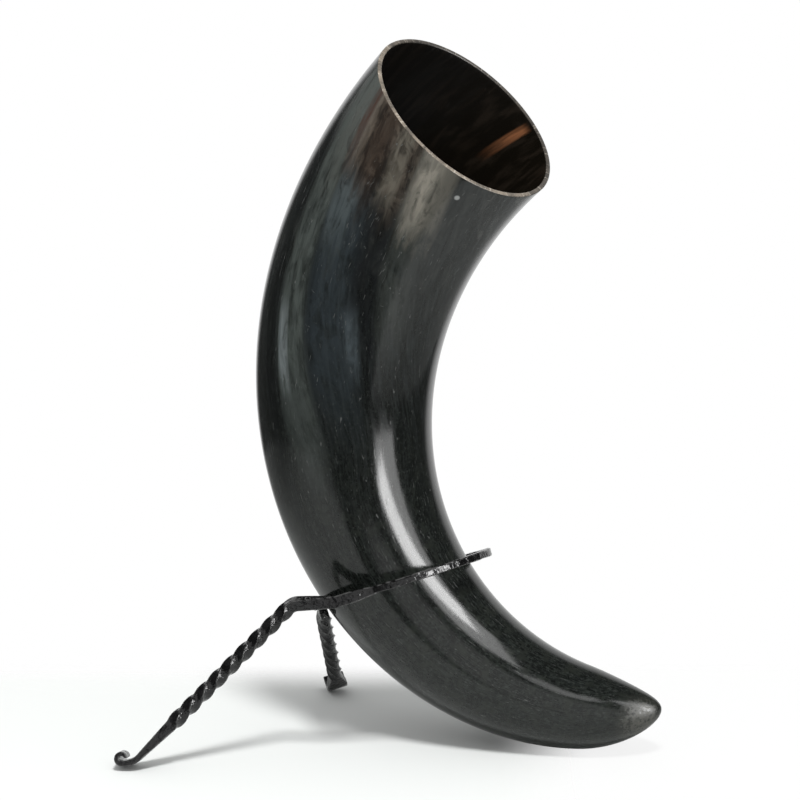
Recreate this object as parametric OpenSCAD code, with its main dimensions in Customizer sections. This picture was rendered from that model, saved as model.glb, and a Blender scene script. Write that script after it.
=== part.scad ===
// Drinking horn standing in a forged two-legged ring stand.
// The horn's own belly is the third foot. Millimetres, +Z up, table at Z = 0,
// origin on the table under the ring's centre, mouth opening toward +X.

/* [Horn] */
// Outside diameter of the mouth
mouth_d = 85; // [70:1:100]
// Length of the horn along its centre line
horn_length = 350; // [300:5:420]
// Angle of the mouth's axis above the table
mouth_rise = 46; // [40:1:52]
// Turn of the centre line from the mouth to the tip
horn_bend = 148.5; // [135:0.5:160]
// Share of that turn spread evenly, the rest tightens toward the tip
even_bend = 0.59; // [0.45:0.01:0.8]
// Sideways turn of the tip, the natural twist of a horn
side_sweep = 12; // [0:1:20]
// Diameter that the taper runs down to before the tip is rounded
tip_d = 23.5; // [18:0.5:32]
// Length of the rounded tip
tip_round = 33; // [20:1:60]
// Share of the taper spread evenly, the rest gathers toward the tip
even_taper = 0.36; // [0.2:0.01:0.6]
// Wall at the rim
rim_wall = 2; // [1.5:0.1:3]
// Wall at the bottom of the hollow
deep_wall = 6; // [3:0.5:10]
// Depth of the hollow along the centre line
hollow_depth = 235; // [180:5:260]
// Length of the rounded bottom of the hollow
hollow_round = 45; // [20:1:60]
// Lean of the rim's cut off square, in the plane of the bend
cut_lean = 2; // [-5:0.5:5]
// Lean of the rim's cut off square, sideways
cut_roll = -4; // [-6:0.5:6]

/* [Ring] */
// Distance from the mouth to the ring along the horn
ring_station = 219.5; // [190:0.5:235]
// Height of the ring's band
band_h = 3.4; // [2.5:0.1:5]
// Thickness of the ring's band
band_w = 4; // [3:0.1:6]
// Bevel on the corners of the hammered band
band_bevel = 0.6; // [0.3:0.1:1]
// Tilt of the ring off level
ring_tilt = 24; // [16:1:30]
// Compass direction in which the ring tilts down, from +X
ring_turn = 163; // [150:1:185]
// How far the horn sits off the ring's centre, on its low side
ring_slack = 2.8; // [1:0.1:4]
// Clearance where the horn leans on the ring
seat_gap = 0.3; // [0.2:0.1:0.6]

/* [Legs] */
// Side of the square bar
bar = 5; // [4:0.1:6]
// Edge bevel of the bar
bar_bevel = 0.4; // [0.3:0.1:0.6]
// Angle of each leg from the ring's low side
leg_splay = 39.5; // [33:0.5:43]
// Quarter turns of twist in the front leg
front_twists = 9; // [6:1:11]
// Quarter turns of twist in the rear leg
rear_twists = 7; // [5:1:8]
// Length of one quarter turn
quarter_length = 7.6; // [6.5:0.1:8.5]
// Slope of the front leg below the ring
front_drop = 27.5; // [23:0.5:32]
// Slope of the rear leg below the ring
rear_drop = 30.5; // [27:0.5:35]
// Length of the front leg's neck along the ring, past its tangent point
front_neck = 24.5; // [18:0.5:34]
// Upward set of the front leg's neck before its knee
neck_set = 15; // [0:1:18]
// Length of the neck after that set
set_length = 14.5; // [6:0.5:16]
// Roll of the bar along that length, the start of the twist
neck_roll = 20; // [0:1:40]
// Length of the rear leg's neck, which laps under the ring
rear_neck = 7; // [5:0.5:12]
// Width that this neck is drawn down to
rear_neck_w = 3.6; // [3:0.1:5]
// Bend radius of the knees, at the bar's middle
knee_r = 6; // [5:0.5:9]
// Width of the fishtail foot
foot_w = 9; // [7:0.2:11]
// Thickness of the foot
foot_t = 2.6; // [2:0.1:3]
// Bend radius of the foot where it meets the table
foot_r = 9; // [7:0.5:12]
// Level length of the foot before its scroll
toe_length = 0.5; // [0:0.5:5]
// Outside diameter of the scroll where it leaves the foot
scroll_d = 7; // [6.4:0.1:8.5]
// How much the scroll's radius closes in over its turn
scroll_close = 0.6; // [0.3:0.1:0.8]
// Turn of the scroll
scroll_turn = 270; // [220:5:275]
// Thickness of the scroll's end
scroll_t = 1.3; // [1.1:0.1:1.8]

/* [Hidden] */
horn_color = "#2d302f";
iron_color = "#1b1b1c";
// Fineness of the horn: sides, steps along the body, steps along a rounded end
horn_sides = 44;
body_steps = 42;
hollow_steps = 26;
round_steps = 9;
// Power of the part of the taper that gathers toward the tip
taper_power = 3;
// Length over which the rings turn from the rim's cut to square
cut_fade = 70;
// Fineness of the ring
ring_sides = 96;
// Fineness of the legs: steps in a quarter turn, a bend, and the scroll
quarter_steps = 6;
bend_steps = 6;
scroll_steps = 18;
// The front neck starts where its scarf is this thick
scarf_edge = 0.8;

// Horn: centre line as heading and side angle at a distance along it
function share(d) = d / horn_length;
function heading(d) = mouth_rise - 180
    + horn_bend * (even_bend * share(d) + (1 - even_bend) * pow(share(d), 2));
function sideways(d) = side_sweep * share(d);
function along(d) = let (h = heading(d), s = sideways(d)) [cos(h) * cos(s), cos(h) * sin(s), sin(h)];
function across(d) = [-sin(sideways(d)), cos(sideways(d)), 0];

// Centre line points, summed in small steps from the mouth at the zero point
line_step = 1;
line_count = ceil(horn_length / line_step);
line = [for (i = 0, p = [0, 0, 0];
             i <= line_count;
             p = p + line_step * along((i + 0.5) * line_step), i = i + 1) p];
function centre(d) = let (x = min(max(d / line_step, 0), line_count), i = min(floor(x), line_count - 1))
    line[i] + (x - i) * (line[i + 1] - line[i]);

// Outside radius: a taper to the tip, closed by an elliptic round
function taper_r(d) = tip_d / 2 + (mouth_d - tip_d) / 2
    * (1 - even_taper * share(d) - (1 - even_taper) * pow(share(d), taper_power));
function rounding(d, end, length) = let (x = min(max((d - end + length) / length, 0), 1)) sqrt(1 - x * x);
function outer_r(d) = taper_r(d) * rounding(d, horn_length, tip_round);
function wall(d) = rim_wall + (deep_wall - rim_wall) * pow(d / hollow_depth, 2);
function inner_r(d) = (taper_r(d) - wall(d)) * rounding(d, hollow_depth, hollow_round);

// Stations from the mouth to the last ring before a rounded end's pole
function stations(end, round_length, steps) = concat(
    [for (i = [0 : steps]) (end - round_length) * i / steps],
    [for (j = [1 : round_steps - 1]) end - round_length * (1 - sin(90 * j / round_steps))]);

// A ring of points round the centre line, leaned to the rim's cut near the mouth
function horn_ring(d, r) =
    let (t = along(d), b = across(d), fade = max(1 - d / cut_fade, 0),
         u = cross(b, t) + tan(cut_lean * fade) * t,
         v = b + tan(cut_roll * fade) * t)
    [for (k = [0 : horn_sides - 1]) let (a = 360 * k / horn_sides) centre(d) + r * (cos(a) * u + sin(a) * v)];
outer_rings = [for (d = stations(horn_length, tip_round, body_steps)) horn_ring(d, outer_r(d))];
inner_rings = [for (d = stations(hollow_depth, hollow_round, hollow_steps)) horn_ring(d, inner_r(d))];

// Place of the horn: lowest point on the table, ring's centre over the origin
horn_low = min([for (ring_points = outer_rings) for (p = ring_points) p.z]);
low_side = [cos(ring_turn) * cos(ring_tilt), sin(ring_turn) * cos(ring_tilt), -sin(ring_tilt)];
ring_up = [cos(ring_turn) * sin(ring_tilt), sin(ring_turn) * sin(ring_tilt), cos(ring_tilt)];
ring_at = centre(ring_station) - ring_slack * low_side;
horn_place = [-ring_at.x, -ring_at.y, -horn_low];
ring_z = ring_at.z - horn_low;

// Outline of the horn at a height above the ring's middle plane, measured from the ring's axis
function ring_height(p) = (p - ring_at) * ring_up;
function outline_at(height) = [
    for (i = [0 : len(outer_rings) - 2])
        for (k = [0 : horn_sides - 1])
            let (p = outer_rings[i][k], q = outer_rings[i + 1][k],
                 hp = ring_height(p) - height, hq = ring_height(q) - height)
            if (hp >= 0 && hq < 0) p + (q - p) * hp / (hp - hq) - ring_at - height * ring_up];
function reach_at(height) = max([for (p = outline_at(height)) norm(p)]);
function reach_toward(height, direction) = max([for (p = outline_at(height)) p * direction]);
ring_in = max(reach_at(band_h / 2), reach_at(0), reach_at(-band_h / 2)) + seat_gap;
ring_out = ring_in + band_w;

// Triangles between rings of equal length, with a fan or a flat end at each end
function wrap(a, n) = a % n;
function skin(rings, n, start) = [
    for (i = [0 : rings - 2])
        for (k = [0 : n - 1])
            let (a = start + i * n + k, b = start + i * n + wrap(k + 1, n))
            each [[a, a + n, b], [b, a + n, b + n]]];
function fan(ring_start, n, pole, flip) = [
    for (k = [0 : n - 1])
        let (a = ring_start + k, b = ring_start + wrap(k + 1, n))
        flip ? [b, a, pole] : [a, b, pole]];

// Stand: paths in the plane of a leg, as steps of [length, turn, width, thickness, twist]
function arc(r, turn) = r * turn * PI / 180;
function even_steps(length, turn, count, from, to, twist = 0) = [
    for (i = [1 : count])
        let (x = i / count)
        [length / count, turn / count, from[0] + x * (to[0] - from[0]), from[1] + x * (to[1] - from[1]),
         twist / count]];
square_bar = [bar, bar];
// After an odd number of quarter turns the section's width and thickness trade places
function turned(section, quarters) = quarters % 2 == 0 ? section : [section[1], section[0]];
function scroll_path(quarters) = [
    for (i = [1 : scroll_steps])
        let (x = i / scroll_steps,
             r = (scroll_d - foot_t) / 2 - x * scroll_close,
             end = turned([foot_w, foot_t + x * (scroll_t - foot_t)], quarters))
        [arc(r, scroll_turn / scroll_steps), scroll_turn / scroll_steps, end[0], end[1], 0]];
// Slope of a leg against the table, and the turn that brings its foot level
function leg_slope(splay, drop) = asin(sin(drop) * cos(ring_tilt) + cos(drop) * cos(splay) * sin(ring_tilt));
function level_turn(splay, drop) =
    drop + atan2(cos(splay) * sin(ring_tilt), cos(ring_tilt));
function shank_and_foot(splay, drop, shank, quarters) =
    let (level = level_turn(splay, drop), foot = turned([foot_w, foot_t], quarters))
    concat(
        even_steps(shank, 0, bend_steps, square_bar, foot),
        even_steps(arc(foot_r, level), level, bend_steps, foot, foot),
        even_steps(toe_length, 0, 1, foot, foot),
        scroll_path(quarters));
function twist_steps(quarters, rolled) =
    even_steps(quarters * quarter_length, 0, quarters * quarter_steps, square_bar, square_bar,
               rolled - 90 * quarters);
function knee_steps(turn, from) = even_steps(arc(knee_r, turn), -turn, bend_steps, from, square_bar);
scarf_start = sqrt(ring_out * ring_out - pow(ring_out - scarf_edge, 2));
scarf_section = [bar, band_h];
rear_section = [rear_neck_w, bar];
function front_steps(shank) = concat(
    even_steps((front_neck - scarf_start) / 2, 0, 3, scarf_section, square_bar),
    even_steps((front_neck - scarf_start) / 2, 0, 2, square_bar, square_bar),
    even_steps(arc(knee_r, neck_set), neck_set, 3, square_bar, square_bar),
    even_steps(set_length, 0, 2, square_bar, square_bar, -neck_roll),
    knee_steps(neck_set + front_drop, square_bar),
    twist_steps(front_twists, neck_roll),
    shank_and_foot(leg_splay, front_drop, shank, front_twists));
function rear_steps(shank) = concat(
    even_steps(rear_neck, 0, 1, rear_section, rear_section),
    knee_steps(rear_drop, rear_section),
    twist_steps(rear_twists, 0),
    shank_and_foot(-leg_splay, rear_drop, shank, rear_twists));

// Stations of a leg: distance along its heading, height, slope, width, thickness and twist
function leg_stations(first, steps) = concat([first], [
    for (i = 0,
             a = first[0] + steps[0][0] * cos(first[2] + steps[0][1] / 2),
             b = first[1] + steps[0][0] * sin(first[2] + steps[0][1] / 2),
             g = first[2] + steps[0][1],
             w = first[5] + steps[0][4];
         i < len(steps);
         i = i + 1,
             a = i < len(steps) ? a + steps[i][0] * cos(g + steps[i][1] / 2) : a,
             b = i < len(steps) ? b + steps[i][0] * sin(g + steps[i][1] / 2) : b,
             g = i < len(steps) ? g + steps[i][1] : g,
             w = i < len(steps) ? w + steps[i][4] : w)
        [a, b, g, steps[i][2], steps[i][3], w]]);
// Corners of the bevelled bar about a station, as [across, in the plane]
function bar_corners(w, t, bevel) = [
    [w / 2, t / 2 - bevel], [w / 2 - bevel, t / 2], [-w / 2 + bevel, t / 2], [-w / 2, t / 2 - bevel],
    [-w / 2, -t / 2 + bevel], [-w / 2 + bevel, -t / 2], [w / 2 - bevel, -t / 2], [w / 2, -t / 2 + bevel]];
corner_count = 8;
// A station's corners in the ring's frame: heading from the low side, offset from the ring's axis
function leg_ring(st, splay, offset) =
    let (h = [cos(splay), sin(splay), 0], side = [-sin(splay), cos(splay), 0],
         up = [-sin(st[2]) * h.x, -sin(st[2]) * h.y, cos(st[2])],
         mid = st[0] * h + offset * side + [0, 0, st[1]])
    [for (c = bar_corners(st[3], st[4], bar_bevel))
        mid + (c[0] * cos(st[5]) - c[1] * sin(st[5])) * side + (c[0] * sin(st[5]) + c[1] * cos(st[5])) * up];
function leg_rings(first, steps, splay, offset) =
    [for (st = leg_stations(first, steps)) leg_ring(st, splay, offset)];
// Height over the table of a point in the ring's frame
function over_table(p) = ring_z - sin(ring_tilt) * p.x + cos(ring_tilt) * p.z;
function lowest(rings) = min([for (r = rings) for (p = r) over_table(p)]);

// Front neck: outer face flush with the band's outside, scarfed onto it
front_offset = ring_out - bar / 2;
front_first = [scarf_start, 0, 0, bar, band_h, 0];
// Rear neck: flat under the band, beside the horn
rear_side = sin(leg_splay) * low_side + cos(leg_splay) * [-sin(ring_turn), cos(ring_turn), 0];
rear_offset = max(reach_toward(-band_h / 2, rear_side), reach_toward(-band_h / 2 - bar, rear_side))
    + seat_gap + rear_neck_w / 2;
rear_first = [0, -(band_h + bar) / 2, 0, rear_neck_w, bar, 0];
// Each shank is as long as its foot needs to reach the table
front_shank = lowest(leg_rings(front_first, front_steps(0), leg_splay, front_offset))
    / sin(leg_slope(leg_splay, front_drop));
rear_shank = lowest(leg_rings(rear_first, rear_steps(0), -leg_splay, rear_offset))
    / sin(leg_slope(-leg_splay, rear_drop));

module at_ring() {
    translate([0, 0, ring_z])
        rotate([0, ring_tilt, ring_turn])
            children();
}

module swept_bar(rings) {
    n = corner_count;
    last = (len(rings) - 1) * n;
    polyhedron(
        points = [for (r = rings) each r],
        faces = concat(
            skin(len(rings), n, 0),
            [[for (k = [0 : n - 1]) k]],
            [[for (k = [n - 1 : -1 : 0]) last + k]]));
}

module horn() {
    n = horn_sides;
    rings = concat([for (i = [len(inner_rings) - 1 : -1 : 0]) inner_rings[i]], outer_rings);
    points = [for (r = rings) each r];
    bottom = len(points);
    color(horn_color)
        translate(horn_place)
            polyhedron(
                points = concat(points, [centre(hollow_depth), centre(horn_length)]),
                faces = concat(
                    skin(len(rings), n, 0),
                    fan(0, n, bottom, false),
                    fan((len(rings) - 1) * n, n, bottom + 1, true)));
}

module ring() {
    color(iron_color)
        at_ring()
            rotate_extrude($fn = ring_sides)
                translate([ring_in + band_w / 2, 0])
                    band_section();
}

// Band with its corners cut by straight bevels, as the hammer leaves them
module band_section() {
    x = band_w / 2;
    y = band_h / 2;
    b = band_bevel;
    polygon([[x, b - y], [x, y - b], [x - b, y], [b - x, y], [-x, y - b], [-x, b - y], [b - x, -y], [x - b, -y]]);
}

module front_leg() {
    color(iron_color)
        at_ring()
            difference() {
                swept_bar(leg_rings(front_first, front_steps(front_shank), leg_splay, front_offset));
                cylinder(r = ring_out, h = 2 * bar, center = true, $fn = ring_sides);
            }
}

module rear_leg() {
    color(iron_color)
        at_ring()
            swept_bar(leg_rings(rear_first, rear_steps(rear_shank), -leg_splay, rear_offset));
}

horn();
ring();
front_leg();
rear_leg();
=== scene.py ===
# Drinking horn leaning in a forged ring stand: finished surfaces, materials, floor, light and camera.
# Shapes are worked out in millimetres, +Z up, and put into the meshes in metres.
from types import SimpleNamespace

import bpy
import numpy as np
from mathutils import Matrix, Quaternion, Vector


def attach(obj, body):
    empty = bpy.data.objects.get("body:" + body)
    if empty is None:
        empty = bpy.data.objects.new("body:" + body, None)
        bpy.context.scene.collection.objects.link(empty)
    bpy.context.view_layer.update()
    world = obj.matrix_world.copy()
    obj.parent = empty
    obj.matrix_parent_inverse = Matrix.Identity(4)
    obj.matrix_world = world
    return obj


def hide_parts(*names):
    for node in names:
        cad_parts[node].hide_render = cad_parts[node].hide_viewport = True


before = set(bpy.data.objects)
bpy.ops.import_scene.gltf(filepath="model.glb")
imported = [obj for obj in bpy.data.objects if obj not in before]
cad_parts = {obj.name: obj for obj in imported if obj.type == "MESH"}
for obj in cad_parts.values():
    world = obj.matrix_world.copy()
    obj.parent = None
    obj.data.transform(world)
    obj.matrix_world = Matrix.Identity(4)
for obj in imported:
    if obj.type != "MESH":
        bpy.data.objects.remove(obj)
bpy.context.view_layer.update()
metre = 0.001  # one millimetre, in metres
print("frame loaded:", sorted(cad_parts))


# cosine and sine of an angle in degrees, as plain numbers or arrays
def cosd(a):
    return np.cos(np.radians(a))


def sind(a):
    return np.sin(np.radians(a))


# 0 below low, 1 above high, and between them an S curve: three squares less two cubes
def ease(x, low, high):
    t = np.clip((x - low) / (high - low), 0, 1)
    return t * t * (3 - 2 * t)


# smooth wandering value of about -1 to 1: a sum of sines whose directions and phases come from the seed
def wander(seed, *coords, waves=7):
    rng = np.random.default_rng(seed)
    total = 0
    for _ in range(waves):
        total = total + np.sin(sum(c * rng.normal() for c in coords) + rng.uniform(0, 2 * np.pi))
    return total / np.sqrt(waves * 2)


# how much one hammer mark differs from the next, as shares of the usual radius and depth
markSpread = {"radius": (0.7, 1.3), "depth": (0.5, 1.0)}


# hammer marks: the deepest of many round dents, each a paraboloid, on a surface measured by two lengths
def dents(seed, s, t, spanS, spanT, count, radius, wrap=None):
    rng = np.random.default_rng(seed)
    depth = np.zeros(np.broadcast(s, t).shape)
    for _ in range(count):
        ds = s - rng.uniform(0, spanS)
        if wrap:
            ds = (ds + wrap / 2) % wrap - wrap / 2
        dt = t - rng.uniform(0, spanT)
        r = radius * rng.uniform(*markSpread["radius"])
        dent = np.clip(1 - (ds * ds + dt * dt) / (r * r), 0, 1)
        depth = np.maximum(depth, rng.uniform(*markSpread["depth"]) * dent)
    return depth


# a mesh from a grid of points whose rows are closed round; its end rows are capped by fans to their means, or
# else joined to each other
def gridPiece(name, points, body, node, attributes, capped=True):
    rows, sides = points.shape[:2]
    k = np.arange(sides)
    after = (k + 1) % sides
    start = np.arange(rows - 1 if capped else rows)[:, None] * sides
    below = (start + sides) % (rows * sides)
    faces = np.stack([start + k, start + after, below + after, below + k], -1).reshape(-1, 4).tolist()
    if capped:
        lastRow, pole = (rows - 1) * sides, rows * sides
        faces += np.stack([after, k, np.full(sides, pole)], -1).tolist()
        faces += np.stack([lastRow + k, lastRow + after, np.full(sides, pole + 1)], -1).tolist()

    # the grid's values as one list, and behind them the means of its capped ends
    def listed(grid):
        flat = grid.reshape(rows * sides, -1)
        ends = grid[[0, -1]].reshape(2, sides, -1).mean(1)
        return np.concatenate([flat, ends]) if capped else flat

    mesh = bpy.data.meshes.new(name)
    mesh.from_pydata((listed(points) * metre).tolist(), [], faces)
    for title, values in attributes.items():
        layer = mesh.attributes.new(title, "FLOAT", "POINT")
        flat = listed(np.broadcast_to(values, (rows, sides))).ravel()
        layer.data.foreach_set("value", flat.astype(np.float32))
    mesh.polygons.foreach_set("use_smooth", np.ones(len(mesh.polygons), bool))
    mesh.update()
    piece = bpy.data.objects.new(name, mesh)
    bpy.context.scene.collection.objects.link(piece)
    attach(piece, body)
    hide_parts(node)
    print("made", name, "with", len(faces), "faces")
    return piece


# the horn: its sizes, its natural unevenness and growth lines, and how finely its skin is divided;
# each wave has a seed, how fast it changes round the horn and the length that it changes over
hornSizes = {
    "mouthD": 85.0, "length": 350.0, "mouthRise": 46.0, "bend": 148.5, "evenBend": 0.59, "sideSweep": 12.0,
    "tipD": 23.5, "tipRound": 33.0, "evenTaper": 0.36, "taperPower": 3.0,
    "rimWall": 2.0, "deepWall": 6.0, "hollowDepth": 235.0, "hollowRound": 45.0, "rimRound": 0.5,
    "cutLean": 2.0, "cutRoll": -4.0, "cutFade": 70.0,
    "skin": 0.12, "swellDepth": 0.14, "swellRise": (2.0, 30.0),
    "broadSwell": (3, 2.2, 55.0), "longSwell": (4, 5.0, 120.0), "longShare": 0.5,
    "growthTurn": 0.27, "growthEnd": 150.0, "growthWave": (5, 3.0, 30.0), "growthWander": 5.0,
    "sides": 176, "outerRows": 250, "innerRows": 96, "roundRows": 20, "rimRows": 6,
    "restRows": 1200, "restSides": 241,
}


# heading of the centre line: the mouth's angle turned by the bend, part evenly and part by the square
def hornHeading(d):
    s = d / hornSizes["length"]
    even = hornSizes["evenBend"]
    return hornSizes["mouthRise"] - 180 + hornSizes["bend"] * (even * s + (1 - even) * s * s)


# unit vector along the centre line: the heading, swept sideways in even steps
def hornAlong(d):
    h, w = hornHeading(d), hornSizes["sideSweep"] * d / hornSizes["length"]
    return np.stack([cosd(h) * cosd(w), cosd(h) * sind(w), sind(h)], -1)


# the level unit vector across the centre line
def hornAcross(d):
    w = hornSizes["sideSweep"] * np.asarray(d, float) / hornSizes["length"]
    return np.stack([-sind(w), cosd(w), np.zeros_like(w)], -1)


# centre line: the sum of one-millimetre steps along the heading, read off between the steps
lineAt = np.arange(0, hornSizes["length"] + 0.5)
linePoints = np.concatenate([np.zeros((1, 3)), np.cumsum(hornAlong(lineAt[:-1] + 0.5), 0)])


def hornCentre(d):
    return np.stack([np.interp(d, lineAt, linePoints[:, i]) for i in range(3)], -1)


# outside radius before the tip is rounded: an even share of the taper and one that gathers by a power
def taperRadius(d):
    s = d / hornSizes["length"]
    even, tipR = hornSizes["evenTaper"], hornSizes["tipD"] / 2
    left = 1 - even * s - (1 - even) * s ** hornSizes["taperPower"]
    return tipR + (hornSizes["mouthD"] / 2 - tipR) * left


# an ellipse's closing share: 1 until the given length before the end, 0 at the end
def rounding(d, end, length):
    x = np.clip((d - end + length) / length, 0, 1)
    return np.sqrt(1 - x * x)


# points of the horn at distances d and radii r, one row each, leaned to the rim's cut near the mouth
def hornRows(d, r, angle):
    t, b = hornAlong(d), hornAcross(d)
    fade = np.clip(1 - d / hornSizes["cutFade"], 0, None)[:, None]
    u = np.cross(b, t) + np.tan(np.radians(hornSizes["cutLean"] * fade)) * t
    v = b + np.tan(np.radians(hornSizes["cutRoll"] * fade)) * t
    spread = cosd(angle)[None, :, None] * u[:, None] + sind(angle)[None, :, None] * v[:, None]
    return hornCentre(d)[:, None] + r[..., None] * spread


# a wandering value on the horn, from how far round it and how far down it a point is
def hornWave(wave, x, y, d):
    seed, turns, length = wave
    return wander(seed, turns * x, turns * y, d / length)


# the ring: where it sits on the horn, its band and its hammer marks
ringSizes = {
    "station": 219.5, "bandH": 3.4, "bandW": 4.0, "bevel": 0.6, "tilt": 24.0, "turn": 163.0, "slack": 2.8,
    "sides": 420, "perSide": 9, "dentDepth": 0.28, "dentRadius": 3.4, "dentCount": 150, "dentSeed": 11,
}

# the ring's own frame: its low side, its level side and its normal
ringTurn, ringTilt = ringSizes["turn"], ringSizes["tilt"]
lowSide = np.array([cosd(ringTurn) * cosd(ringTilt), sind(ringTurn) * cosd(ringTilt), -sind(ringTilt)])
ringSide = np.array([-sind(ringTurn), cosd(ringTurn), 0.0])
ringAxes = np.stack([lowSide, ringSide, np.cross(lowSide, ringSide)])

# the horn stands with its lowest point on the table and the ring's centre over the origin
ringAt = hornCentre(ringSizes["station"]) - ringSizes["slack"] * lowSide
hornPlace = np.array([-ringAt[0], -ringAt[1], 0.0])
restD = np.linspace(0, hornSizes["length"], hornSizes["restRows"])
restR = taperRadius(restD) * rounding(restD, hornSizes["length"], hornSizes["tipRound"])
restAngle = np.linspace(0, 360, hornSizes["restSides"])
hornPlace[2] = -hornRows(restD, np.repeat(restR[:, None], len(restAngle), 1), restAngle)[..., 2].min()


# the horn's skin: up the hollow from its bottom, over the rounded rim and down the outside to the tip
def makeHorn():
    h = hornSizes
    angle = np.arange(h["sides"]) * 360 / h["sides"]
    curl = 1 - np.sin(np.linspace(0, np.pi / 2, h["roundRows"] + 1))[1:-1]
    inD = np.concatenate([np.linspace(h["rimRound"], h["hollowDepth"] - h["hollowRound"], h["innerRows"]),
                          h["hollowDepth"] - h["hollowRound"] * curl])
    outD = np.concatenate([np.linspace(h["rimRound"], h["length"] - h["tipRound"], h["outerRows"]),
                           h["length"] - h["tipRound"] * curl])
    wall = h["rimWall"] + (h["deepWall"] - h["rimWall"]) * (inD / h["hollowDepth"]) ** 2
    inR = (taperRadius(inD) - wall) * rounding(inD, h["hollowDepth"], h["hollowRound"])
    outR = taperRadius(outD) * rounding(outD, h["length"], h["tipRound"]) - h["skin"]
    outD = outD * (1 - h["skin"] / h["length"])
    # rim: a quarter round from the inside, a flat, and a quarter round to the outside
    quarter = np.linspace(0, np.pi / 2, h["rimRows"])
    rimIn, rimOut = h["mouthD"] / 2 - h["rimWall"], h["mouthD"] / 2 - h["skin"]
    rimD = np.concatenate([h["rimRound"] * (1 - np.sin(quarter)), h["rimRound"] * (1 - np.cos(quarter))])
    rimR = np.concatenate([rimIn + h["rimRound"] * (1 - np.cos(quarter)),
                           rimOut - h["rimRound"] * (1 - np.sin(quarter))])
    d = np.concatenate([inD[::-1], rimD[1:-1], outD])
    r = np.concatenate([inR[::-1], rimR[1:-1], outR])
    zone = np.repeat([0, 1, 2], [len(inD), len(rimD) - 2, len(outD)])[:, None]
    inside, rim, outside = ((zone == i).astype(float) for i in range(3))
    # unevenness: broad shallow waves that run along the horn, none at the rim
    x, y = cosd(angle)[None], sind(angle)[None]
    down = d[:, None]
    swell = hornWave(h["broadSwell"], x, y, down) + h["longShare"] * hornWave(h["longSwell"], x, y, down)
    hollowed = outside * ease(down, *h["swellRise"]) * (1 + np.clip(swell, -1, 1)) / 2
    points = hornRows(d, r[:, None] - h["swellDepth"] * hollowed, angle) + hornPlace
    # growth lines: the angle round the horn, turned with the distance from the mouth and wandering a little
    growth = angle[None] + h["growthTurn"] * np.minimum(down, h["growthEnd"])
    growth = growth + h["growthWander"] * hornWave(h["growthWave"], x, y, down)
    attributes = {
        "down": down, "aroundX": x, "aroundY": y, "growthX": cosd(growth), "growthY": sind(growth),
        "inside": inside, "rim": rim,
    }
    return gridPiece("horn_skin", points, "horn", "horn", attributes)


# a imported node's points, in millimetres
def packedPoints(node):
    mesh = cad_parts[node].data
    co = np.zeros(len(mesh.vertices) * 3)
    mesh.vertices.foreach_get("co", co)
    return co.reshape(-1, 3) / metre


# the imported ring's middle, and points turned into its frame and back
ringCo = packedPoints("ring")
ringMid = (ringCo.min(0) + ringCo.max(0)) / 2


def toRing(p):
    return (p - ringMid) @ ringAxes.T


def fromRing(p):
    return ringMid + p @ ringAxes


ringOut = np.hypot(*toRing(ringCo)[:, :2].T).max()  # the ring's outside radius


# outline of a bar, w wide and t thick at each station: four rounded corners, with even steps between them;
# and how near each point is to a corner, 1 on it and falling by the cube toward the middle of a flat
def barOutline(w, t, radius, perSide):
    turn = np.linspace(0, 90, perSide)
    corners = []
    for sx, sy, start in ((1, 1, 0), (-1, 1, 90), (-1, -1, 180), (1, -1, 270)):
        x = (sx * (w / 2 - radius))[:, None] + radius * cosd(start + turn)
        y = (sy * (t / 2 - radius))[:, None] + radius * sind(start + turn)
        corners.append(np.stack([x, y], -1))
    step = np.linspace(0, 1, perSide + 1)[1:-1]
    outline, edge = [], []
    for corner, following in zip(corners, corners[1:] + corners[:1]):
        last, first = corner[:, -1:], following[:, :1]
        outline += [corner, last + step[None, :, None] * (first - last)]
        edge += [np.ones(perSide), np.abs(step * 2 - 1) ** 3]
    return np.concatenate(outline, 1), np.concatenate(edge)


# an iron piece from points in the ring's frame, with how near an edge and how deep in a dent each point lies
def ironPiece(name, local, node, edge, dent, capped=True):
    attributes = {"edge": edge[None], "dent": dent}
    return gridPiece(name, fromRing(local), "stand", node, attributes, capped)


# the ring: a bar's outline carried round a circle, drawn in where the hammer dented it
def makeRing():
    g = ringSizes
    turn = np.arange(g["sides"]) * 360 / g["sides"]
    one = np.ones(g["sides"])
    outline, edge = barOutline(g["bandW"] * one, g["bandH"] * one, g["bevel"], g["perSide"])
    middle = ringOut - g["bandW"] / 2
    along, total = np.radians(turn)[:, None] * middle, 2 * np.pi * middle
    girth = 2 * (g["bandW"] + g["bandH"])
    across = np.linspace(0, girth, outline.shape[1])[None]
    mark = dents(g["dentSeed"], along, across, total, girth, g["dentCount"], g["dentRadius"], wrap=total)
    r = middle + outline[..., 0] * (1 - g["dentDepth"] * mark / (g["bandW"] / 2))
    z = outline[..., 1] * (1 - g["dentDepth"] * mark / (g["bandH"] / 2))
    local = np.stack([r * cosd(turn)[:, None], r * sind(turn)[:, None], z], -1)
    # the outline is reversed, so that the faces point outwards
    return ironPiece("ring_band", local[:, ::-1], "ring", edge[::-1], mark[:, ::-1], capped=False)


# what both legs share: the bar, its knees, quarter turns and foot, its hammer marks, and the parts' steps
legSizes = {
    "bar": 5.0, "bevel": 0.45, "splay": 39.5, "kneeR": 6.0, "quarter": 7.6,
    "footW": 8.95, "footT": 2.6, "footR": 9.0, "toe": 0.5,
    "scrollD": 6.96, "scrollClose": 0.6, "scrollTurn": 270.0, "scrollT": 1.3,
    "dentDepth": 0.10, "dentCount": 160, "dentRadius": 2.0, "girth": 18.0, "leastReach": 0.5,
    "perSide": 7, "neckSteps": 8, "quarterSteps": 22, "shankSteps": 30, "footSteps": 18, "scrollSteps": 45,
}
legSquare = [legSizes["bar"], legSizes["bar"]]  # the plain bar's width and thickness


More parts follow.
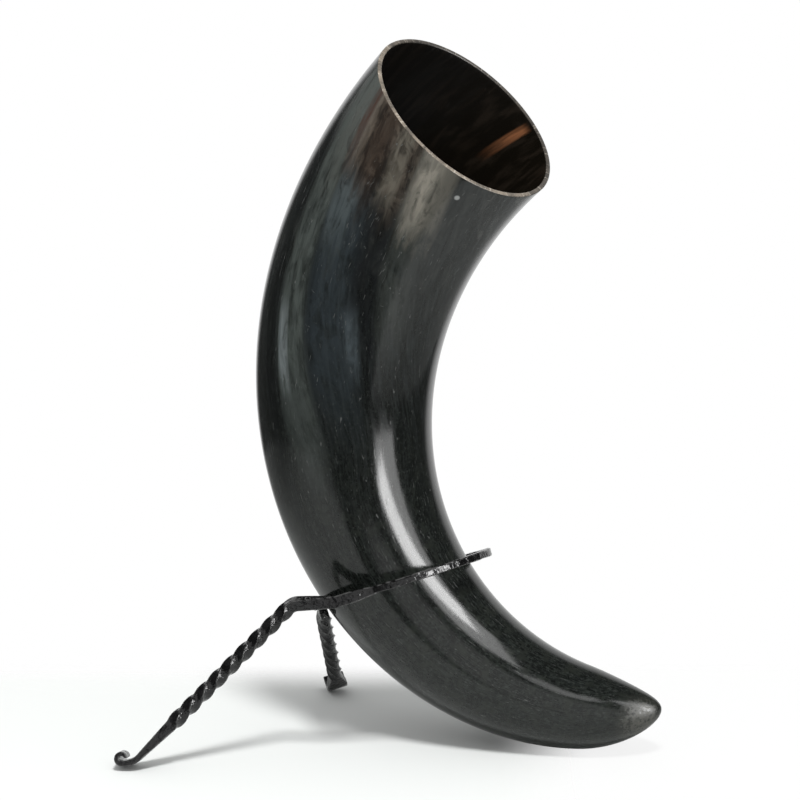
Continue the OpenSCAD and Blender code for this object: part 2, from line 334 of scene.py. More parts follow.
# parts of a leg's path: length, turn, section at its start and end, twist and steps
def straight(length, start, end, steps, twist=0.0):
    return length, 0.0, start, end, twist, steps


# a bend of a radius, as long as its arc
def bend(radius, turn, start, end, steps):
    return radius * np.radians(abs(turn)), turn, start, end, 0.0, steps


# a straight length of quarter turns, with the twist less what the neck has turned already
def twisted(quarters, turned=0.0):
    s = legSizes
    return straight(quarters * s["quarter"], legSquare, legSquare, quarters * s["quarterSteps"],
                    turned - 90 * quarters)


# a leg's stations: its parts joined end to end, each step laid at the mean of its slopes; a station has its
# distance ahead, height, slope, width, thickness and twist
def legStations(first, parts):
    rows = []
    for length, turn, start, end, twist, count in parts:
        x = np.arange(1, count + 1)[:, None] / count
        section = np.array(start) + x * (np.array(end) - np.array(start))
        even = np.tile([length / count, turn / count, twist / count], (count, 1))
        rows.append(np.concatenate([even, section], 1))
    length, turn, twist, w, t = np.concatenate(rows).T
    slope = first[2] + np.cumsum(turn)
    middle = slope - turn / 2
    a = first[0] + np.cumsum(length * cosd(middle))
    b = first[1] + np.cumsum(length * sind(middle))
    return np.concatenate([[[*first, 0.0]], np.stack([a, b, slope, w, t, np.cumsum(twist)], -1)])


# shank, foot and scroll: the foot turns level with the table, and the scroll's radius and thickness close in
# evenly; after an odd number of quarter turns the section's width and thickness trade places
def footParts(drop, shank, quarters):
    s = legSizes
    level = drop + np.degrees(np.arctan2(cosd(s["splay"]) * sind(ringTilt), cosd(ringTilt)))

    def section(thickness):
        return [s["footW"], thickness] if quarters % 2 == 0 else [thickness, s["footW"]]

    foot, curls = section(s["footT"]), s["scrollSteps"]
    parts = [straight(shank, legSquare, foot, s["shankSteps"]),
             bend(s["footR"], level, foot, foot, s["footSteps"]),
             straight(s["toe"], foot, foot, 1)]
    thin = s["footT"] + np.linspace(0, 1, curls + 1) * (s["scrollT"] - s["footT"])
    for i in range(curls):
        r = (s["scrollD"] - s["footT"]) / 2 - (i + 1) / curls * s["scrollClose"]
        parts.append(bend(r, s["scrollTurn"] / curls, section(thin[i]), section(thin[i + 1]), 1))
    return parts


# points of a leg: its outline turned by the twist, in the plane that holds the ring's normal
def legPoints(stations, splay, offset):
    a, b, slope, w, t, twist = stations.T
    outline, edge = barOutline(w, t, legSizes["bevel"], legSizes["perSide"])
    ahead = np.array([cosd(splay), sind(splay), 0])
    side = np.array([-sind(splay), cosd(splay), 0])
    up = np.stack([-sind(slope) * ahead[0], -sind(slope) * ahead[1], cosd(slope)], -1)
    c, n = outline[..., 0], outline[..., 1]
    ct, st = cosd(twist)[:, None], sind(twist)[:, None]
    mid = a[:, None] * ahead + offset * side + b[:, None] * np.array([0, 0, 1])
    across, above = (c * ct - n * st)[..., None], (c * st + n * ct)[..., None]
    return mid[:, None] + across * side + above * up[:, None], edge


# a leg whose shank is as long as its foot needs to reach the table: the height left over, along its slope
def legOnTable(first, partsFor, splay, offset, drop):
    slope = np.arcsin(sind(drop) * cosd(ringTilt) + cosd(drop) * cosd(splay) * sind(ringTilt))
    short = legPoints(legStations(first, partsFor(0.0)), splay, offset)[0]
    stations = legStations(first, partsFor(fromRing(short)[..., 2].min() / np.sin(slope)))
    return stations, *legPoints(stations, splay, offset)


# small hammer marks: points drawn toward the station's middle by the depth of the dent
def hammered(local, seed):
    s = legSizes
    mid = local.mean(1, keepdims=True)
    run = np.concatenate([[0], np.cumsum(np.linalg.norm(np.diff(mid[:, 0], axis=0), axis=1))])[:, None]
    across = np.linspace(0, s["girth"], local.shape[1], endpoint=False)[None]
    mark = dents(seed, run, across, run.max(), s["girth"], s["dentCount"], s["dentRadius"])
    reach = np.maximum(np.linalg.norm(local - mid, axis=2, keepdims=True), s["leastReach"])
    return mid + (local - mid) * (1 - s["dentDepth"] * mark[..., None] / reach), mark


# the front leg: its drop, twists and neck, how it is scarfed onto the ring, and its steps
frontLeg = {
    "drop": 27.5, "twists": 9, "neck": 24.5, "neckSet": 15.0, "neckRoll": 20.0, "riseLength": 14.5,
    "scarfEdge": 0.8, "scarfClear": 0.02, "feather": (-1.5, 9.0), "featherThin": 0.06,
    "sink": 0.25, "sinkLength": 3.0, "dentSeed": 21,
    "scarfSteps": 12, "setSteps": 6, "riseSteps": 14, "kneeSteps": 14,
}


# scarf, neck, a set upward, the knee, twists, then shank, foot and scroll, joined end to end
def makeFrontLeg():
    s, f = legSizes, frontLeg
    scarf = [s["bar"], ringSizes["bandH"]]
    start = np.sqrt(ringOut ** 2 - (ringOut - f["scarfEdge"]) ** 2)
    half = (f["neck"] - start) / 2

    def parts(shank):
        return [straight(half, scarf, legSquare, f["scarfSteps"]),
                straight(half, legSquare, legSquare, s["neckSteps"]),
                bend(s["kneeR"], f["neckSet"], legSquare, legSquare, f["setSteps"]),
                straight(f["riseLength"], legSquare, legSquare, f["riseSteps"], -f["neckRoll"]),
                bend(s["kneeR"], -f["neckSet"] - f["drop"], legSquare, legSquare, f["kneeSteps"]),
                twisted(f["twists"], f["neckRoll"]),
                *footParts(f["drop"], shank, f["twists"])]

    offset = ringOut - s["bar"] / 2
    stations, local, edge = legOnTable([start, 0, 0, *scarf], parts, s["splay"], offset, f["drop"])
    local, mark = hammered(local, f["dentSeed"])
    # the scarf feathers from its start, and what would lie inside the ring's outside is moved out to it
    run = stations[:, 0] - stations[0, 0]
    feather = ease(run, *f["feather"])[:, None]
    reach = np.hypot(local[..., 0], local[..., 1])
    thin = np.where(reach > ringOut, (ringOut + (reach - ringOut) * feather) / reach, 1)
    lower = np.broadcast_to(1 - f["featherThin"] * (1 - feather), thin.shape)
    local = local * np.stack([thin, thin, lower], -1)
    reach = reach * thin
    clear = ringOut + f["scarfClear"]
    near = (np.abs(local[..., 2]) < s["bar"]) & (reach < clear)
    # its very start sinks below the ring's outside, so that no end shows
    sink = f["sink"] * (1 - ease(run, 0, f["sinkLength"]))[:, None] / reach
    push = np.where(near, clear / reach, 1) - sink
    local = local * np.stack([push, push, np.ones_like(push)], -1)
    return ironPiece("front_leg_bar", local, "front_leg", edge, mark)


# the rear leg: its drop, twists and neck, and how far along it its start is looked for
rearLeg = {
    "drop": 30.5, "twists": 7, "neck": 7.0, "neckW": 3.6, "startDepth": 0.5, "dentSeed": 22, "kneeSteps": 12,
}


# a neck under the band, the knee, twists, then shank, foot and scroll, joined end to end
def makeRearLeg():
    s, b = legSizes, rearLeg
    neck = [b["neckW"], s["bar"]]

    def parts(shank):
        return [straight(b["neck"], neck, neck, s["neckSteps"]),
                bend(s["kneeR"], -b["drop"], neck, legSquare, b["kneeSteps"]),
                twisted(b["twists"]),
                *footParts(b["drop"], shank, b["twists"])]

    # the neck lies beside the horn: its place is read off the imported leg's start
    packed = toRing(packedPoints("rear_leg"))
    ahead = np.array([cosd(s["splay"]), -sind(s["splay"]), 0])
    side = np.array([sind(s["splay"]), cosd(s["splay"]), 0])
    aside = packed[packed @ ahead < b["startDepth"]] @ side
    first = [0, -(ringSizes["bandH"] + s["bar"]) / 2, 0, *neck]
    offset = (aside.min() + aside.max()) / 2
    local, edge = legOnTable(first, parts, -s["splay"], offset, b["drop"])[1:]
    local, mark = hammered(local, b["dentSeed"])
    return ironPiece("rear_leg_bar", local, "rear_leg", edge, mark)


# a socket that can be used in sums: each operator adds its Math node
class Wire:
    def __init__(self, tree, socket=None):
        self.tree = tree
        self.socket = socket

    # any node: its type, its settings, its sockets' values or links, and which output is wanted
    def node(self, kind, settings=None, sockets=None, out=0):
        made = self.tree.nodes.new(kind)
        for name, value in (settings or {}).items():
            setattr(made, name, value)
        for key, value in (sockets or {}).items():
            if isinstance(value, Wire):
                self.tree.links.new(value.socket, made.inputs[key])
            else:
                made.inputs[key].default_value = value
        return Wire(self.tree, made.outputs[out] if made.outputs else None)

    def calc(self, operation, first, second=0.0):
        return self.node("ShaderNodeMath", {"operation": operation}, {0: first, 1: second})

    def __add__(self, other):
        return self.calc("ADD", self, other)

    def __radd__(self, other):
        return self.calc("ADD", other, self)

    def __sub__(self, other):
        return self.calc("SUBTRACT", self, other)

    def __rsub__(self, other):
        return self.calc("SUBTRACT", other, self)

    def __mul__(self, other):
        return self.calc("MULTIPLY", self, other)

    def __rmul__(self, other):
        return self.calc("MULTIPLY", other, self)

    # S curve from 0 at low to 1 at high
    def ease(self, low, high):
        return self.node("ShaderNodeMapRange", {"interpolation_type": "SMOOTHSTEP"},
                         {0: self, 1: low, 2: high, 3: 0.0, 4: 1.0})

    # the given low value where this is 0, rising to 1 where this is 1
    def lift(self, low):
        return low + (1 - low) * self

    # this value as the share of the second colour
    def blend(self, first, second):
        return self.node("ShaderNodeMix", {"data_type": "RGBA"}, {0: self, 6: first, 7: second}, out=2)


# a material with an empty tree, and the wire to build it with
def newMaterial(name):
    material = bpy.data.materials.new(name)
    material.use_nodes = True
    material.node_tree.nodes.clear()
    return material, Wire(material.node_tree)


# a value that the mesh carries at its points
def attribute(w, name):
    return w.node("ShaderNodeAttribute", {"attribute_name": name, "attribute_type": "GEOMETRY"}, out="Fac")


# a vector from three numbers
def combine(w, x, y, z):
    return w.node("ShaderNodeCombineXYZ", {}, {0: x, 1: y, 2: z})


# a noise of about 0 to 1, with its middle at a half
def noise(w, vector, scale, detail, rough, distortion=0.0):
    return w.node("ShaderNodeTexNoise", {}, {"Vector": vector, "Scale": scale, "Detail": detail,
                                             "Roughness": rough, "Distortion": distortion})


# a number from two vectors
def measure(w, operation, first, second):
    return w.node("ShaderNodeVectorMath", {"operation": operation}, {0: first, 1: second}, out="Value")


# how far a point is from a spot
def distanceTo(w, point, spot):
    return measure(w, "DISTANCE", point, spot)


# how far a point lies along a direction: their dot product
def lengthAlong(w, point, direction):
    return measure(w, "DOT_PRODUCT", point, direction)


# the largest of several values
def largest(w, first, *others):
    for other in others:
        first = w.calc("MAXIMUM", first, other)
    return first


# the shader and its output, with relief pressed in by a bump
def finishMaterial(w, sockets, height, bump):
    strength, depth = bump
    relief = w.node("ShaderNodeBump", {}, {"Strength": strength, "Distance": depth, "Height": height})
    shader = w.node("ShaderNodeBsdfPrincipled", {}, {**sockets, "Normal": relief})
    w.node("ShaderNodeOutputMaterial", {}, {"Surface": shader})


# polished horn. Its noises follow the growth lines: how fast each changes round the horn and how fast with
# each millimetre along it, then detail, roughness and distortion
hornGrain = {
    "fibre": (22.0, 0.045, 4.0, 0.58, 0.5), "thread": (62.0, 0.09, 3.0, 0.6),
    "strand": (10.0, 0.060, 3.0, 0.52, 0.6), "blotch": (9.0, 0.10, 4.0, 0.58, 0.9),
    "cloud": (5.0, 0.035, 4.0, 0.6, 0.5), "dash": (52.0, 0.24, 3.0, 0.7), "fleck": (46.0, 0.42, 2.0, 0.5),
}


# what the horn's layers read: its attributes, its place and its noises
def hornInputs(w):
    names = ("down", "aroundX", "aroundY", "growthX", "growthY", "inside", "rim")
    horn = SimpleNamespace(w=w, **{name: attribute(w, name) for name in names})
    horn.place = w.node("ShaderNodeTexCoord", out="Object")
    for name, (turns, along, *settings) in hornGrain.items():
        vector = combine(w, horn.growthX * turns, horn.growthY * turns, horn.down * along)
        setattr(horn, name, noise(w, vector, 1.0, *settings))
    return horn


# share of a band along the growth lines: the cosine of the angle from its middle, eased over its soft edge
def bandAt(horn, angle, half, soft):
    toward = horn.growthX * float(cosd(angle)) + horn.growthY * float(sind(angle))
    return toward.ease(float(cosd(half + soft)), float(cosd(half)))


# the ground: colours, the noise levels between which each shows, and the millimetres over which each fades
groundLook = {
    "deep": (0.0055, 0.0066, 0.0058, 1), "fibre": (0.024, 0.028, 0.028, 1),
    "strand": (0.055, 0.057, 0.053, 1), "grain": (0.031, 0.0365, 0.0325, 1),
    "umber": (0.020, 0.0155, 0.0125, 1), "tan": (0.105, 0.088, 0.070, 1),
    "upperFade": (70, 190), "fibreShow": (0.40, 0.68), "fibreLow": 0.20,
    "strandShow": (0.50, 0.70), "strandFade": (20, 110),
    "dashShow": (0.47, 0.64), "dashShare": 0.55, "sand": (640.0, 4.0, 0.72), "sandShow": (0.49, 0.63),
    "grainRise": (160, 240), "grainLow": 0.45,
    "warmBand": (290, 22, 12), "warmFade": (22, 52), "warmRagged": 30.0, "umberShare": 0.8,
    "tanStrand": (0.42, 0.60), "tanBlotch": (0.44, 0.62), "tanShare": 0.35,
}


# near-black, with paler fibres and strands toward the mouth, fine dashes and grit, and a warm band by the rim
def hornGround(horn):
    g, down = groundLook, horn.down
    horn.upper = 1 - down.ease(*g["upperFade"])
    fibres = horn.fibre.ease(*g["fibreShow"]) * horn.upper.lift(g["fibreLow"])
    strands = horn.strand.ease(*g["strandShow"]) * (1 - down.ease(*g["strandFade"]))
    colour = strands.blend(fibres.blend(g["deep"], g["fibre"]), g["strand"])
    sand = noise(horn.w, horn.place, *g["sand"]).ease(*g["sandShow"])
    grain = g["dashShare"] * horn.dash.ease(*g["dashShow"]) + (1 - g["dashShare"]) * sand
    colour = (grain * down.ease(*g["grainRise"]).lift(g["grainLow"])).blend(colour, g["grain"])
    ragged = down + g["warmRagged"] * (horn.cloud - 0.5)
    warm = bandAt(horn, *g["warmBand"]) * (1 - ragged.ease(*g["warmFade"]))
    colour = (warm * g["umberShare"]).blend(colour, g["umber"])
    tan = g["tanShare"] * horn.strand.ease(*g["tanStrand"])
    tan = tan + (1 - g["tanShare"]) * horn.blotch.ease(*g["tanBlotch"])
    return (warm * tan).blend(colour, g["tan"])


# streaks along the growth lines: angle, half width and soft edge in degrees; where each is fully there, where
# it begins to fade and where it ends, in millimetres from the rim; share and colour
hornStreaks = [
    (316, 10, 12, 0, 12, 38, 0.95, (0.140, 0.147, 0.140, 1)),
    (314, 7, 8, 0, 115, 175, 0.95, (0.075, 0.087, 0.080, 1)),
    (299, 1.5, 4, 62, 120, 165, 0.7, (0.005, 0.0055, 0.005, 1)),
    # the next streak, a pale bluish patch, is fine scratches with a painted highlight laid in
    (321, 2, 4, 106, 116, 132, 0.95, (0.190, 0.215, 0.220, 1)),
    (337, 2, 6, 0, 120, 190, 0.9, (0.005, 0.006, 0.006, 1)),
    (288, 7, 11, 42, 100, 165, 0.85, (0.032, 0.041, 0.047, 1)),
    (294, 4, 6, 42, 48, 72, 0.85, (0.085, 0.103, 0.106, 1)),
    (269, 5, 7, 44, 95, 150, 0.85, (0.008, 0.009, 0.010, 1)),
    (286, 3, 6, 0, 26, 46, 0.8, (0.034, 0.022, 0.016, 1)),
    (297, 1.5, 3, 0, 14, 34, 0.7, (0.130, 0.105, 0.082, 1)),
    (303, 1.5, 3, 0, 16, 36, 0.9, (0.055, 0.026, 0.018, 1)),
    (272, 2, 4, 0, 24, 40, 0.9, (0.150, 0.138, 0.112, 1)),
    (252, 6, 6, 0, 70, 115, 0.85, (0.054, 0.060, 0.055, 1)),
    (250, 7, 6, 0, 24, 52, 1.0, (0.320, 0.298, 0.250, 1)),
    (275, 1.5, 4, 96, 104, 124, 0.7, (0.085, 0.105, 0.115, 1)),
    (312, 3, 5, 125, 150, 178, 0.6, (0.050, 0.057, 0.054, 1)),
    (232, 12, 9, 0, 60, 120, 0.7, (0.022, 0.025, 0.023, 1)),
    (150, 16, 14, 0, 60, 130, 0.8, (0.060, 0.066, 0.062, 1)),
    (105, 8, 9, 0, 35, 80, 0.8, (0.200, 0.185, 0.150, 1)),
    (60, 9, 10, 0, 90, 150, 0.85, (0.034, 0.042, 0.045, 1)),
    (20, 10, 12, 0, 50, 110, 0.8, (0.090, 0.086, 0.074, 1)),
]
streakLook = {
    "ragged": 34.0, "lead": 18, "least": 0.18, "fibre": (0.34, 0.64), "fibreShare": 0.20,
    "strand": (0.36, 0.60), "strandShare": 0.27, "blotch": (0.38, 0.58), "blotchShare": 0.35,
}


# each streak: its band, let through by the grain, with ragged ends
def hornStreaked(horn, colour):
    k, down = streakLook, horn.down
    ragged = down + k["ragged"] * (horn.blotch - 0.5) + k["ragged"] * (horn.fibre - 0.5)
    grain = k["least"]
    for name in ("fibre", "strand", "blotch"):
        grain = grain + k[name + "Share"] * getattr(horn, name).ease(*k[name])
    for angle, half, soft, start, fade, end, share, tint in hornStreaks:
        band = bandAt(horn, angle, half, soft) * (1 - ragged.ease(fade, end)) * share
        if start:
            band = band * down.ease(start - k["lead"], start)
        colour = (band * grain).blend(colour, tint)
    return colour


# wear: scratches along and across the horn, flecks, mottling below, the scuffed tip and one chip near the rim
wearLook = {
    "scratch": (0.13, 0.135, 0.13, 1), "scratchShare": 0.55,
    "scarTurns": 36.0, "scarAlong": 0.13, "scarSlant": 6.0, "scar": (2.0, 0.7, 0.8),
    "scarShow": (0.66, 0.73), "crossTurns": 14.0, "crossLean": (0.5, 0.35), "crossAlong": 0.10,
    "cross": (2.0, 0.7, 0.6), "crossShow": (0.70, 0.77),
    "fleckShow": (0.63, 0.75), "fleckShare": 0.14, "fleckMore": 0.20, "fleckRise": (120, 230),
    "mottleColour": (0.021, 0.024, 0.020, 1), "mottle": (210.0, 4.0, 0.62), "mottleShow": (0.46, 0.68),
    "mottleRise": (110, 220), "mottleShare": 0.75,
    "scuffColour": (0.100, 0.097, 0.082, 1), "scuffPlace": (0.1050, 0.0115, 0.0165),
    "scuffFade": (0.002, 0.014), "grit": (700.0, 4.0, 0.62), "gritShow": (0.38, 0.64), "gritLow": 0.25,
    "scuffShare": 0.8, "chipColour": (0.36, 0.37, 0.36, 1),
    "chipPlace": (0.0398, -0.0333, 0.2402), "chipFade": (0.0007, 0.0014),
}


# wear laid over the colour; the scratches and the scuff are kept for the gloss
def hornWorn(horn, colour):
    k, w, down, x, y = wearLook, horn.w, horn.down, horn.aroundX, horn.aroundY
    slanted = down * k["scarAlong"] + x * k["scarSlant"]
    scar = noise(w, combine(w, x * k["scarTurns"], y * k["scarTurns"], slanted), 1.0, *k["scar"])
    leanX, leanY = (down * lean for lean in k["crossLean"])
    crossing = combine(w, x * k["crossTurns"] + leanX, y * k["crossTurns"] + leanY, down * k["crossAlong"])
    cross = noise(w, crossing, 1.0, *k["cross"])
    horn.nick = largest(w, scar.ease(*k["scarShow"]), cross.ease(*k["crossShow"]) * horn.upper)
    colour = (horn.nick * k["scratchShare"]).blend(colour, k["scratch"])
    flecked = k["fleckShare"] + k["fleckMore"] * down.ease(*k["fleckRise"])
    colour = (horn.fleck.ease(*k["fleckShow"]) * flecked).blend(colour, k["scratch"])
    mottle = noise(w, horn.place, *k["mottle"]).ease(*k["mottleShow"])
    colour = (mottle * down.ease(*k["mottleRise"]) * k["mottleShare"]).blend(colour, k["mottleColour"])
    grit = noise(w, horn.place, *k["grit"]).ease(*k["gritShow"])
    worn = 1 - distanceTo(w, horn.place, k["scuffPlace"]).ease(*k["scuffFade"])
    horn.scuff = worn * grit.lift(k["gritLow"])
    colour = (horn.scuff * k["scuffShare"]).blend(colour, k["scuffColour"])
    chip = 1 - distanceTo(w, horn.place, k["chipPlace"]).ease(*k["chipFade"])
    return chip.blend(colour, k["chipColour"])


# the hollow: colours, and the amber streak's angle at the rim, its turn for each millimetre of depth, and its
# half width without and with its soft edge, in degrees
hollowLook = {
    # the amber colour is painted light shining through the horn's wall
    "dark": (0.0055, 0.0042, 0.0026, 1), "pale": (0.019, 0.014, 0.010, 1), "amberShineThrough": (0.26, 0.105, 0.046, 1),
    "paleShow": (0.46, 0.70), "paleShare": 0.8, "amberAngle": 112.5, "amberTurn": 0.38,
    "amberHalf": 0.8, "amberEdge": 4.2, "amberRise": (1, 6), "amberFade": (9, 30),
    "amberShow": (0.30, 0.6), "amberLow": 0.35,
}


# brown-black, with an amber streak of painted light shining through the wall, which drifts round the wall
# with depth
def hornHollow(horn):
    k, w, down = hollowLook, horn.w, horn.down
    drift = (k["amberAngle"] - k["amberTurn"] * down) * float(np.radians(1))
    toward = horn.aroundX * w.calc("COSINE", drift) + horn.aroundY * w.calc("SINE", drift)
    # where the painted light shining through the wall shows, and how it fades with depth
    shineThrough = toward.ease(float(cosd(k["amberEdge"])), float(cosd(k["amberHalf"])))
    shineThrough = shineThrough * down.ease(*k["amberRise"]) * (1 - down.ease(*k["amberFade"]))
    colour = (horn.strand.ease(*k["paleShow"]) * k["paleShare"]).blend(k["dark"], k["pale"])
    return (shineThrough * horn.fibre.ease(*k["amberShow"]).lift(k["amberLow"])).blend(colour, k["amberShineThrough"])


# the cut rim: colours, how much darker its far side is, and its chips and pits
rimLook = {
    "pale": (0.29, 0.245, 0.195, 1), "dark": (0.04, 0.037, 0.033, 1), "fleck": (0.50, 0.45, 0.38, 1),
    "paleShow": (0.35, 0.62), "paleLow": 0.30, "farSide": (-0.50, 0.30), "farShare": 0.80,
    "chipTurns": 30.0, "chipAlong": 1.2, "chip": (3.0, 0.6), "fleckShow": (0.58, 0.66), "fleckLow": 0.35,
    "pitShow": (0.42, 0.34), "pitShare": 0.7, "cutShow": (0.3, 0.7),
}


# tan with grey, darker on the far side, flecked and pitted
def hornRim(horn):
    k, w, x, y = rimLook, horn.w, horn.aroundX, horn.aroundY
    pale = horn.cloud.ease(*k["paleShow"]).lift(k["paleLow"]) * (1 - k["farShare"] * y.ease(*k["farSide"]))
    chipped = combine(w, x * k["chipTurns"], y * k["chipTurns"], horn.down * k["chipAlong"])
    chip = noise(w, chipped, 1.0, *k["chip"])
    colour = pale.blend(k["dark"], k["pale"])
    colour = (chip.ease(*k["fleckShow"]) * pale.lift(k["fleckLow"])).blend(colour, k["fleck"])
    return (chip.ease(*k["pitShow"]) * k["pitShare"]).blend(colour, k["dark"])


# the polish: roughness and what adds to it, the index that sets its mirror, and the relief's heights and bump
polishLook = {
    "rough": 0.115, "fibreShow": (0.4, 0.7), "fibre": 0.05, "scuff": 0.50, "rim": 0.28, "hollow": 0.22,
    "nick": 0.2, "mirror": 1.40, "threadHeight": 0.25, "fibreHeight": 0.4, "nickDepth": 0.7,
    "bump": (0.06, 0.0004),
}


# the horn's layers from the ground up, then the hollow and the rim in their places
def hornMaterial():
    k = polishLook
    material, w = newMaterial("polished_horn")
    horn = hornInputs(w)
    colour = hornWorn(horn, hornStreaked(horn, hornGround(horn)))
    colour = horn.inside.blend(colour, hornHollow(horn))
    colour = horn.rim.ease(*rimLook["cutShow"]).blend(colour, hornRim(horn))
    rough = k["rough"] + k["fibre"] * horn.fibre.ease(*k["fibreShow"]) + k["scuff"] * horn.scuff
    rough = rough + k["rim"] * horn.rim + k["hollow"] * horn.inside + k["nick"] * horn.nick
    height = horn.thread * k["threadHeight"] + horn.fibre * k["fibreHeight"] - horn.nick * k["nickDepth"]
    finishMaterial(w, {"Base Color": colour, "Roughness": rough, "IOR": k["mirror"]}, height, k["bump"])
    return material


# forged iron under black lacquer: colours, noises (scale, detail, roughness, distortion), gloss and relief
ironFinish = {
    # the edge colour stands for rubbed iron and for a painted highlight of the glints along the edges
    "black": (0.0038, 0.0038, 0.0040, 1), "grey": (0.010, 0.010, 0.0105, 1), "edge": (0.15, 0.15, 0.147, 1),
    "scale": (0.012, 0.010, 0.009, 1),
    "cloud": (260.0, 4.0, 0.6), "grit": (1500.0, 3.0, 0.6), "beaten": (520.0, 2.0, 0.5, 0.8),
    "greyShow": (0.40, 0.62), "scaleShow": (0.58, 0.76), "scaleShare": 0.4,
    "edgeShow": (0.85, 1.0), "rubAndGlintShow": (0.42, 0.58), "rubAndGlintShare": 0.4,
    "rough": 0.10, "cloudRough": 0.16, "roughShow": (0.40, 0.7), "dentShine": 0.05, "mirror": 1.45,
    "beatenHeight": 0.8, "cloudHeight": 0.5, "gritHeight": 0.04, "bump": (0.75, 0.0006),
}


# clouded black with specks of scale, lighter along its edges where it is rubbed and where a painted highlight
# stands for the glints, and shinier in its dents
def ironMaterial():
    f = ironFinish
    material, w = newMaterial("lacquered_iron")
    place = w.node("ShaderNodeTexCoord", out="Object")
    edge, dent = attribute(w, "edge"), attribute(w, "dent")
    cloud, grit, beaten = (noise(w, place, *f[name]) for name in ("cloud", "grit", "beaten"))
    colour = cloud.ease(*f["greyShow"]).blend(f["black"], f["grey"])
    colour = (grit.ease(*f["scaleShow"]) * f["scaleShare"]).blend(colour, f["scale"])
    # pale edges: rubbed iron, with a painted highlight for the glints along them
    rubAndGlint = edge.ease(*f["edgeShow"]) * cloud.ease(*f["rubAndGlintShow"])
    colour = (rubAndGlint * f["rubAndGlintShare"]).blend(colour, f["edge"])
    rough = f["rough"] + f["cloudRough"] * cloud.ease(*f["roughShow"]) - f["dentShine"] * dent
    height = beaten * f["beatenHeight"] + cloud * f["cloudHeight"] + f["gritHeight"] * grit
    finishMaterial(w, {"Base Color": colour, "Roughness": rough, "IOR": f["mirror"]}, height, f["bump"])
    return material


hornPiece = makeHorn()
hornPiece.data.materials.append(hornMaterial())
ironLook = ironMaterial()
for part in (makeRing(), makeFrontLeg(), makeRearLeg()):
    part.data.materials.append(ironLook)
print("finished the horn and the iron")

# studio, in metres and degrees: the floor and where it clears, what the polish sees of it, the camera, and
# the surround's levels; a backdrop or card is full where the cosine of the angle from its middle passes the
# second value of its edge, and gone below the first
studio = {
    "floor": (0.925, 0.945, 0.930, 1), "floorRough": 0.9, "floorCentre": (-0.03, 0.0, 0.0),
    "floorClear": 0.31, "floorEnd": 0.35, "seen": (0.15, 0.28), "seenBehind": (0.045, 0.085),
    "seenRight": (0.035, 0.080), "rightShare": 0.85,
    "notchCentre": (0.18, -0.31, 0.0), "notch": (0.145, 0.170),
    "dims": [{"azimuth": 165.0, "fade": (0.0, 0.30), "share": 0.8},
             {"azimuth": 35.0, "fade": (0.06, 0.26), "share": 0.65}],
    "aim": (0.0355, -0.0762, 0.1678), "toCamera": (0.4177, -0.8710, 0.2588), "distance": 1.3,
    "lens": 150.7, "sensor": 36.0, "clip": (0.05, 50.0),
    "ambient": 0.55, "room": 0.06,
    "surround": [{"level": 0.85, "azimuth": 104.0, "rise": 0.0, "edge": (0.73, 0.88)},
                 {"level": 0.95, "azimuth": -61.0, "rise": 11.0, "edge": (0.90, 0.955)}],
}


# a direction as a unit vector from its azimuth and its rise above the table
def heading(azimuth, rise=0.0):
    return Vector((cosd(rise) * cosd(azimuth), cosd(rise) * sind(azimuth), sind(rise)))


# the floor: plain paper that turns clear between two distances, by the largest of several shares. What the
# camera sees of it ends nearer, soonest behind the object and at its right. In the polish a round notch
# toward the camera is left out, and it is dimmer at the back left and at the right
def makeFloor():
    k, half = studio, studio["floorEnd"]
    cx, cy = k["floorCentre"][:2]
    mesh = bpy.data.meshes.new("floor")
    corners = [(cx + i * half, cy + j * half, 0) for i, j in ((-1, -1), (1, -1), (1, 1), (-1, 1))]
    mesh.from_pydata(corners, [], [(0, 1, 2, 3)])
    floor = bpy.data.objects.new("floor", mesh)
    bpy.context.scene.collection.objects.link(floor)
    material, w = newMaterial("floor_paper")
    place = w.node("ShaderNodeTexCoord", out="Object")
    camera = w.node("ShaderNodeLightPath", out="Is Camera Ray")
    glossy = w.node("ShaderNodeLightPath", out="Is Glossy Ray")
    away = -Vector((*k["toCamera"][:2], 0)).normalized()
    seen = largest(w, distanceTo(w, place, (0, 0, 0)).ease(*k["seen"]),
                   lengthAlong(w, place, tuple(away)).ease(*k["seenBehind"]),
                   lengthAlong(w, place, (away.y, -away.x, 0)).ease(*k["seenRight"]) * k["rightShare"])
    notch = 1 - distanceTo(w, place, k["notchCentre"]).ease(*k["notch"])
    dims = [lengthAlong(w, place, tuple(heading(dim["azimuth"]))).ease(*dim["fade"]) * dim["share"]
            for dim in k["dims"]]
    far = distanceTo(w, place, k["floorCentre"]).ease(k["floorClear"], k["floorEnd"])
    fade = largest(w, far, seen * camera, largest(w, notch, *dims) * glossy)
    paper = w.node("ShaderNodeBsdfPrincipled", {}, {"Base Color": k["floor"], "Roughness": k["floorRough"],
                                                    "Specular IOR Level": 0.0})
    clear = w.node("ShaderNodeBsdfTransparent")
    faded = w.node("ShaderNodeMixShader", {}, {0: fade, 1: paper, 2: clear})
    w.node("ShaderNodeOutputMaterial", {}, {"Surface": faded})
    mesh.materials.append(material)


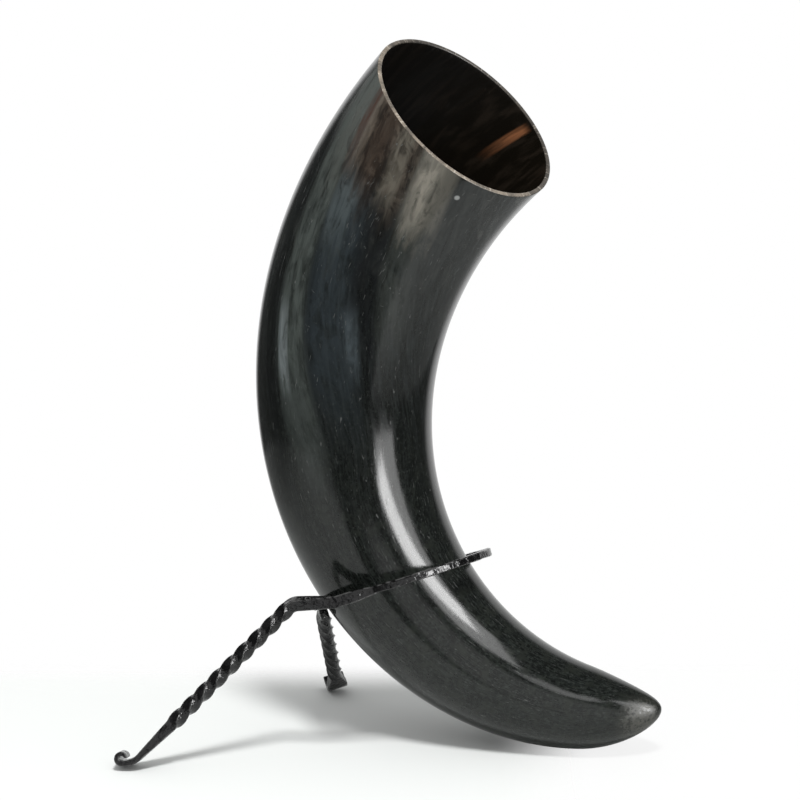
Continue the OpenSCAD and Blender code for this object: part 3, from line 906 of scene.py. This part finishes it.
# the surround: white to the camera, an even level for soft light, and in the polish a dim room with a white
# backdrop behind the object and a white card round the camera
def makeWorld():
    world = bpy.data.worlds.new("surround")
    bpy.context.scene.world = world
    world.use_nodes = True
    world.node_tree.nodes.clear()
    w = Wire(world.node_tree)
    rays = ("Is Camera Ray", "Is Glossy Ray", "Is Transmission Ray")
    camera, glossy, through = (w.node("ShaderNodeLightPath", out=ray) for ray in rays)
    mirrored = w.calc("MINIMUM", glossy + through, 1.0)
    direction = w.node("ShaderNodeTexCoord", out="Generated")
    polish = studio["room"]
    for sheet in studio["surround"]:
        toward = lengthAlong(w, direction, tuple(heading(sheet["azimuth"], sheet["rise"])))
        polish = polish + sheet["level"] * toward.ease(*sheet["edge"])
    unseen = studio["ambient"] + (polish - studio["ambient"]) * mirrored
    level = unseen + (1 - unseen) * camera
    back = w.node("ShaderNodeBackground", {}, {"Color": (1, 1, 1, 1), "Strength": level})
    w.node("ShaderNodeOutputWorld", {}, {"Surface": back})


# the camera stands off from its aim along its direction, and looks at it
def makeCamera():
    cam = bpy.data.cameras.new("camera")
    cam.lens, cam.sensor_width = studio["lens"], studio["sensor"]
    cam.clip_start, cam.clip_end = studio["clip"]
    camera = bpy.data.objects.new("camera", cam)
    aim = Vector(studio["aim"])
    camera.location = aim + Vector(studio["toCamera"]) * studio["distance"]
    camera.rotation_euler = (aim - camera.location).to_track_quat("-Z", "Y").to_euler()
    bpy.context.scene.collection.objects.link(camera)
    bpy.context.scene.camera = camera


# the lamps: the key gives the light and the shadow, and the others only show in the polish
lampAim = Vector((0.03, 0.0, 0.12))
softBoxes = {
    "key_box": {"azimuth": -60, "rise": 67, "distance": 1.4, "size": (0.26, 0.26), "watts": 14,
                "mirrored": False},
    "side_strip": {"azimuth": -15, "rise": 10, "distance": 1.2, "size": (0.30, 1.10), "watts": 18,
                   "lean": -20, "diffuse": False},
    "side_halo": {"azimuth": -12, "rise": 13, "distance": 1.25, "size": (0.68, 1.60), "watts": 18,
                  "diffuse": False},
    "front_fill": {"azimuth": -50, "rise": 40, "distance": 1.5, "size": (0.40, 0.30), "watts": 1.3,
                   "diffuse": False},
}


# a soft box: a rectangle of light at an azimuth, rise and distance from the object, facing it and leaned in
# its own plane
def softBox(name, azimuth, rise, distance, size, watts, lean=0.0, diffuse=True, mirrored=True):
    lamp = bpy.data.lights.new(name, "AREA")
    lamp.shape = "RECTANGLE"
    lamp.size, lamp.size_y = size
    lamp.energy = watts
    box = bpy.data.objects.new(name, lamp)
    box.location = lampAim + distance * heading(azimuth, rise)
    facing = (lampAim - box.location).to_track_quat("-Z", "Y")
    box.rotation_euler = (facing @ Quaternion((0, 0, 1), np.radians(lean))).to_euler()
    box.visible_diffuse, box.visible_glossy = diffuse, mirrored
    bpy.context.scene.collection.objects.link(box)


makeFloor()
makeWorld()
makeCamera()
for name, settings in softBoxes.items():
    softBox(name, **settings)
bpy.context.scene.view_settings.view_transform = "Standard"
print("set the floor, surround, camera and", len(softBoxes), "lamps")
